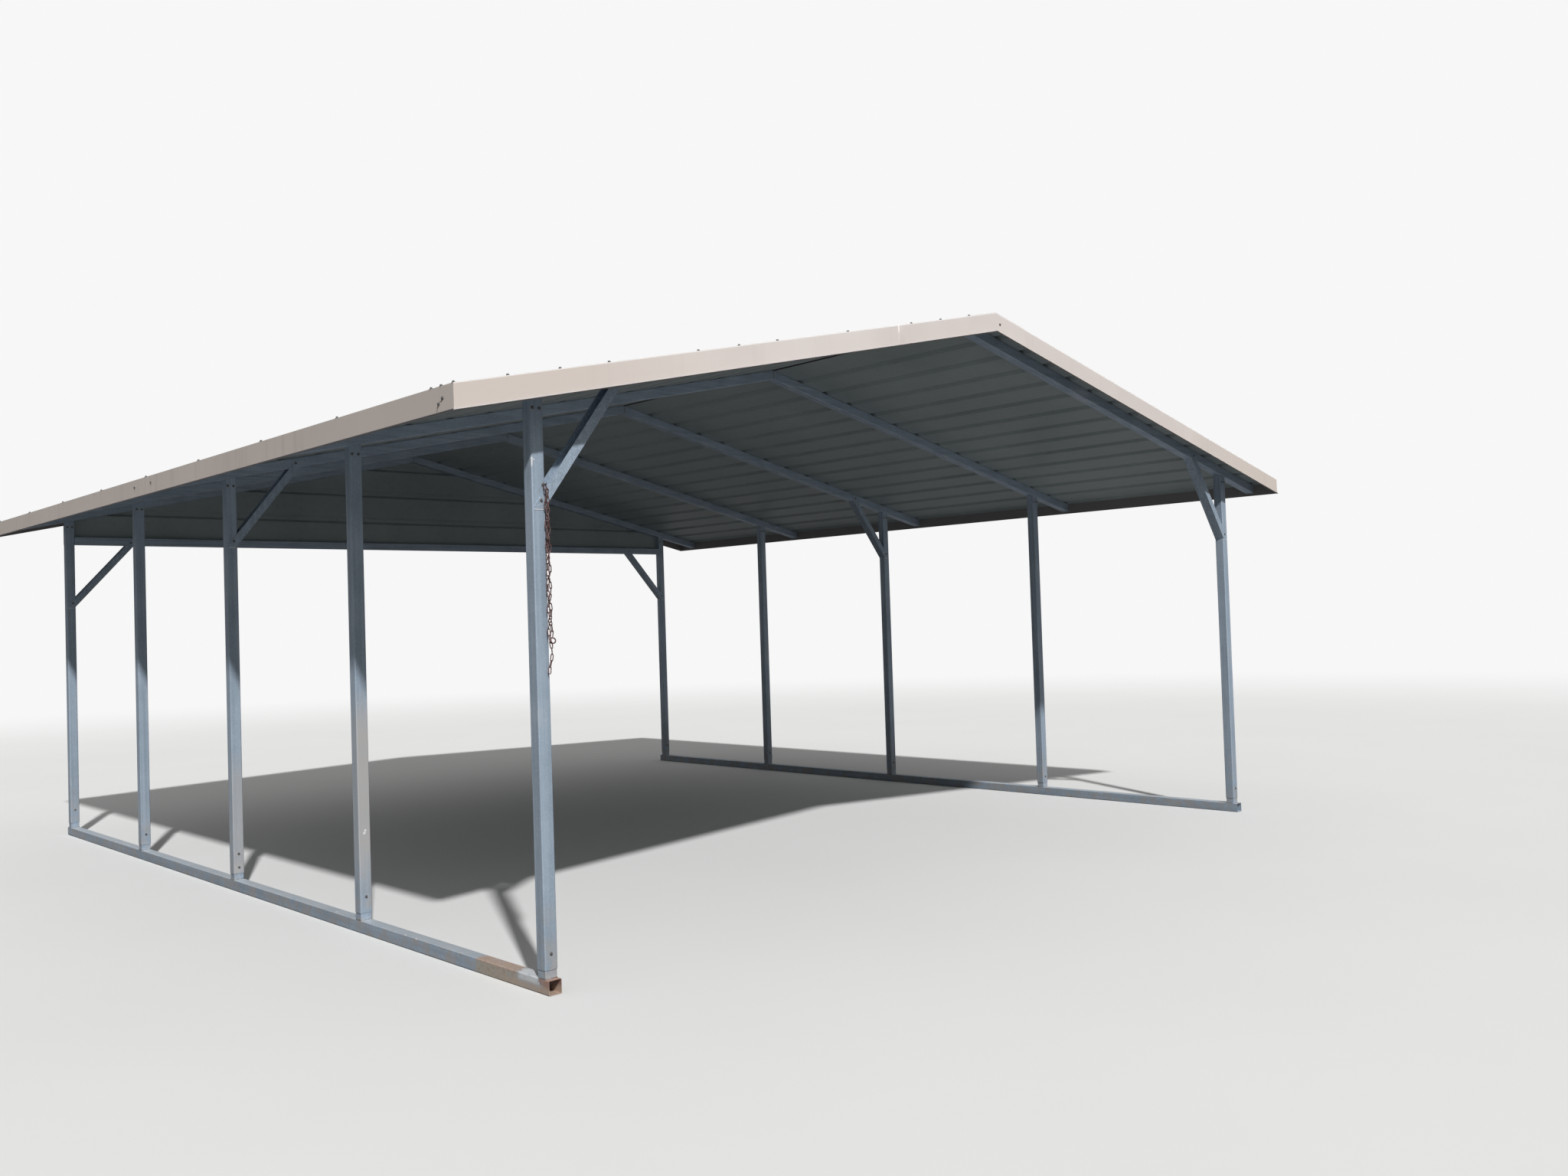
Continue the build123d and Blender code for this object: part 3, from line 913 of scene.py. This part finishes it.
def add_panel_screws(material):
    """Screws that hold the back gable sheet to the header and the rafters, clear of its ribs."""
    piece = Piece("panel_screws")
    face = frame_y(FRAME_COUNT) + TUBE / 2 + SHEET_GAUGE
    for x in evenly(-POST_X, POST_X, HEADER_SCREW_COUNT):
        piece.screw(Vector((x, face, HEADER_LOW + TUBE / 2)), OUT_BACK)
    for _, sign in SIDES:
        for i in range(RAKE_SCREW_COUNT):
            run = RAKE_SCREW_FIRST + RAKE_SCREW_SPACING * i
            place = on_slope(run, -TUBE * RAKE_SCREW_DEPTH, sign)
            if not near_panel_rib(place.z):
                piece.screw(at_y(place, face), OUT_BACK)
    piece.done(material)


# Weld beads: radius, its ripple with the turn of each step, and its unevenness
BEAD_RADIUS = 0.0026
BEAD_RIPPLE = 0.0006
BEAD_RIPPLE_TURN = 1.3
BEAD_UNEVENNESS = 0.0002

# How far beads stay from corners and from the ends of a mitre, how high their middles lie over the
# rail and over the underside of the mitre, and how many points a path has
BEAD_CORNER = 0.004
BEAD_END_MARGIN = 0.006
STUB_BEAD_LIFT = 0.0006
MITRE_BEAD_LIFT = 0.0004
STUB_SIDE_POINTS = 15
MITRE_UNDER_POINTS = 17
MITRE_FACE_POINTS = 19


def bead_radius(i):
    even = BEAD_RADIUS + BEAD_RIPPLE * math.sin(i * BEAD_RIPPLE_TURN)
    return even + random.uniform(-BEAD_UNEVENNESS, BEAD_UNEVENNESS)


def round_stub(centre):
    """Path round the foot of a stub, its corners cut off."""
    half = STUB_SIDE / 2
    corners = [centre + Vector((a * half, b * half, 0)) for a, b in ((1, 1), (-1, 1), (-1, -1), (1, -1))]
    path = []
    for here, following in zip(corners, corners[1:] + corners[:1]):
        cut = (following - here).normalized() * BEAD_CORNER
        path += evenly(here + cut, following - cut, STUB_SIDE_POINTS)
    return path


def add_welds(material):
    """Beads round the feet of the stubs on the rails, and across each mitre at the ridge.

    The last mitre has none on its back, which the gable panel covers.
    """
    piece = Piece("welds")
    for _, sign in SIDES:
        for number in FRAMES:
            centre = Vector((sign * POST_X, frame_y(number), TUBE + STUB_BEAD_LIFT))
            piece.tube(round_stub(centre), bead_radius, closed=True)
    under = slope_height(0, -TUBE)
    for number in FRAMES:
        y = frame_y(number)
        reach = TUBE / 2 - BEAD_CORNER
        start = Vector((0, y - reach, under + MITRE_BEAD_LIFT))
        piece.tube(evenly(start, at_y(start, y + reach), MITRE_UNDER_POINTS), bead_radius)
        faces = [y - TUBE / 2]
        if number < FRAME_COUNT:
            faces.append(y + TUBE / 2)
        for face in faces:
            low = Vector((0, face, under + BEAD_END_MARGIN))
            high = Vector((0, face, RIDGE_TOP - BEAD_END_MARGIN))
            piece.tube(evenly(low, high, MITRE_FACE_POINTS), bead_radius)
    piece.done(material, smooth=50)


# The chain, doubled over a screw in the left front brace: the two strands' lengths, how far each is
# from their middle, the share and rate at which that sways, and the drop in which they wind round
# each other once
CHAIN_HOOK = Vector((-2.7040, -3.0787, 1.9305))
CHAIN_TOP = CHAIN_HOOK + Vector((0.0050, -0.0135, 0))
STRAND_LENGTHS = (0.585, 0.745)
STRAND_APART = 0.0058
STRAND_SWAY = 0.25
STRAND_SWAY_RATE = 37
STRAND_TWIST = 0.160
STRAND_STEPS = 400
BEND_STEPS = 24

# Links: each stands square to the one before it, but for a lean and a swing
LINK_PITCH = 0.0235
LINK_HALF_WIDTH = 0.0045
LINK_WIRE = 0.0021
LINK_WIRE_SIDES = 6
LINK_END_STEPS = 6
LINK_LEAN = 0.25
LINK_SWING = 0.3
LINK_SWING_RATE = 1.7

# The strands hang side by side as the camera sees them
FACE_ON = math.radians(-33.5)
ACROSS_VIEW = Vector((math.cos(FACE_ON), math.sin(FACE_ON), 0))
TOWARDS_VIEW = Vector((math.sin(FACE_ON), -math.cos(FACE_ON), 0))
UP = Vector((0, 0, 1))

# Ring on the chain's shorter end
RING_OFFSET = Vector((0.004, -0.002, -0.013))
RING_RADIUS = 0.0105
RING_WIRE = LINK_WIRE * 1.3
RING_STEPS = 20


def link_path(centre, along, wide):
    """Closed path of one link: two straight sides joined by half rounds."""
    straight = LINK_PITCH / 2 + LINK_WIRE - LINK_HALF_WIDTH
    path = []
    for end in (1, -1):
        for i in range(LINK_END_STEPS + 1):
            t = math.pi * i / LINK_END_STEPS
            reach = end * (straight + LINK_HALF_WIDTH * math.sin(t))
            path.append(centre + along * reach + end * wide * LINK_HALF_WIDTH * math.cos(t))
    return path


def strand_point(side, drop):
    """Middle of one strand of the doubled chain, drop below the screw; the two wind round each other."""
    turn = FACE_ON + 2 * math.pi * drop / STRAND_TWIST
    apart = STRAND_APART * (1 + STRAND_SWAY * math.sin(drop * STRAND_SWAY_RATE + side))
    return CHAIN_TOP - UP * drop + Vector((math.cos(turn), math.sin(turn), 0)) * apart * side


def chain_points():
    """Points a link apart: up the shorter strand, over the screw and down the longer one."""
    shorter, longer = STRAND_LENGTHS
    fine = []
    for i in range(STRAND_STEPS, 0, -1):
        fine.append(strand_point(-1, shorter * i / STRAND_STEPS))
    for i in range(1, BEND_STEPS):
        t = math.pi * i / BEND_STEPS
        fine.append(CHAIN_TOP + UP * STRAND_APART * math.sin(t) - ACROSS_VIEW * STRAND_APART * math.cos(t))
    for i in range(1, STRAND_STEPS + 1):
        fine.append(strand_point(1, longer * i / STRAND_STEPS))
    points = [fine[0]]
    for point in fine:
        if (point - points[-1]).length >= LINK_PITCH:
            points.append(point)
    return points


def add_chain(iron, zinc):
    """Rusty chain doubled over its screw, with a ring on its shorter end."""
    peg = Piece("chain_screw")
    peg.screw(CHAIN_HOOK, OUT_FRONT, CHAIN_SCREW)
    peg.done(zinc)
    piece = Piece("chain")
    points = chain_points()
    for number, (start, end) in enumerate(zip(points, points[1:])):
        along = (end - start).normalized()
        level = along.cross(TOWARDS_VIEW).normalized()
        turn = (number % 2) * math.pi / 2 + LINK_SWING * math.sin(number * LINK_SWING_RATE) + LINK_LEAN
        wide = Matrix.Rotation(turn, 3, along) @ level
        piece.tube(link_path((start + end) / 2, along, wide), LINK_WIRE, LINK_WIRE_SIDES, closed=True)
    ring = points[0] + RING_OFFSET
    angles = [2 * math.pi * i / RING_STEPS for i in range(RING_STEPS)]
    circle = [ring + (ACROSS_VIEW * math.cos(t) + UP * math.sin(t)) * RING_RADIUS for t in angles]
    piece.tube(circle, RING_WIRE, closed=True)
    piece.done(iron)


# Stage: a pale floor that fades to the background, a soft sun, and a sky that is brighter overhead.
# The floor throws up less light than its seen colour would, and less still where the roof covers it
FLOOR_HALF = 60.0
FLOOR_TOP = -0.0005
FADE_START = 9.0
FADE_END = 22.0
FLOOR_DARK = (0.70, 0.70, 0.69)
FLOOR_PALE = (0.74, 0.74, 0.73)
BACKGROUND = (0.93, 0.93, 0.93)
OPEN_BOUNCE = (0.18, 0.18, 0.18)
COVERED_BOUNCE = (0.04, 0.04, 0.04)
COVERED_X = (-2.9, 2.9)
COVERED_Y = (-1.2, 3.2)
COVERED_FADE = 1.2
ZENITH_LIGHT = 0.45
HORIZON_LIGHT = 0.10
SUN_LIGHT = 3.55
SUN_AZIMUTH = math.radians(26)
SUN_HEIGHT = math.radians(43.5)
SUN_ANGLE = math.radians(2)


def add_floor():
    bpy.ops.mesh.primitive_plane_add(size=2 * FLOOR_HALF, location=(0, 0, FLOOR_TOP))
    floor = bpy.context.object
    floor.name = "floor"
    s = Shader("floor")
    seen = s.node("ShaderNodeLightPath").outputs["Is Camera Ray"]
    pale = s.mix(s.noise(0.6, 3), FLOOR_DARK, FLOOR_PALE)
    covered = s.times(s.within(s.axis("X"), *COVERED_X, COVERED_FADE),
                      s.within(s.axis("Y"), *COVERED_Y, COVERED_FADE))
    bounce = s.mix(covered, OPEN_BOUNCE, COVERED_BOUNCE)
    s.finish(s.mix(seen, bounce, pale), roughness=0.8)
    length = s.node("ShaderNodeVectorMath", operation="LENGTH")
    s.put(length.inputs[0], s.place)
    glow = s.node("ShaderNodeEmission")
    s.put(glow.inputs["Color"], BACKGROUND)
    both = s.node("ShaderNodeMixShader")
    s.put(both.inputs[0], s.times(s.ramp(length.outputs["Value"], FADE_START, FADE_END), seen))
    s.put(both.inputs[1], s.surface.outputs[0])
    s.put(both.inputs[2], glow.outputs[0])
    s.put(s.tree.nodes["Material Output"].inputs["Surface"], both.outputs[0])
    floor.data.materials.append(s.material)


def add_sky():
    """Light from the sky, and an even background for the camera."""
    world = bpy.data.worlds.new("studio")
    bpy.context.scene.world = world
    world.use_nodes = True
    nodes = world.node_tree.nodes
    links = world.node_tree.links
    sky = nodes["Background"]
    sky.inputs["Color"].default_value = (1, 1, 1, 1)
    height = nodes.new("ShaderNodeSeparateXYZ")
    links.new(nodes.new("ShaderNodeTexCoord").outputs["Generated"], height.inputs[0])
    rise = nodes.new("ShaderNodeMapRange")
    rise.inputs["To Min"].default_value = HORIZON_LIGHT
    rise.inputs["To Max"].default_value = ZENITH_LIGHT
    links.new(height.outputs["Z"], rise.inputs["Value"])
    links.new(rise.outputs[0], sky.inputs["Strength"])
    backdrop = nodes.new("ShaderNodeBackground")
    backdrop.inputs["Color"].default_value = (*BACKGROUND, 1)
    both = nodes.new("ShaderNodeMixShader")
    links.new(nodes.new("ShaderNodeLightPath").outputs["Is Camera Ray"], both.inputs[0])
    links.new(sky.outputs[0], both.inputs[1])
    links.new(backdrop.outputs[0], both.inputs[2])
    links.new(both.outputs[0], nodes["World Output"].inputs["Surface"])


def add_sun():
    data = bpy.data.lights.new("sun", "SUN")
    data.energy = SUN_LIGHT
    data.angle = SUN_ANGLE
    sun = bpy.data.objects.new("sun", data)
    travel = Vector((math.sin(SUN_AZIMUTH) * math.cos(SUN_HEIGHT),
                     math.cos(SUN_AZIMUTH) * math.cos(SUN_HEIGHT), -math.sin(SUN_HEIGHT)))
    sun.rotation_euler = travel.to_track_quat("-Z", "Y").to_euler()
    bpy.context.scene.collection.objects.link(sun)


add_camera()
add_sky()
add_sun()
add_floor()
trim_finish = painted_trim()
paint_nodes(trim_finish)
screw_finish = zinc_screw()
add_post_screws(screw_finish)
add_brace_screws(screw_finish)
add_roof_screws(screw_finish)
add_trim_screws(screw_finish)
add_trim_lap(trim_finish)
add_hem_returns(trim_finish)
add_panel_screws(screw_finish)
add_welds(weld_metal())
add_chain(rusty_iron(), screw_finish)

bpy.context.scene.view_settings.view_transform = "Standard"
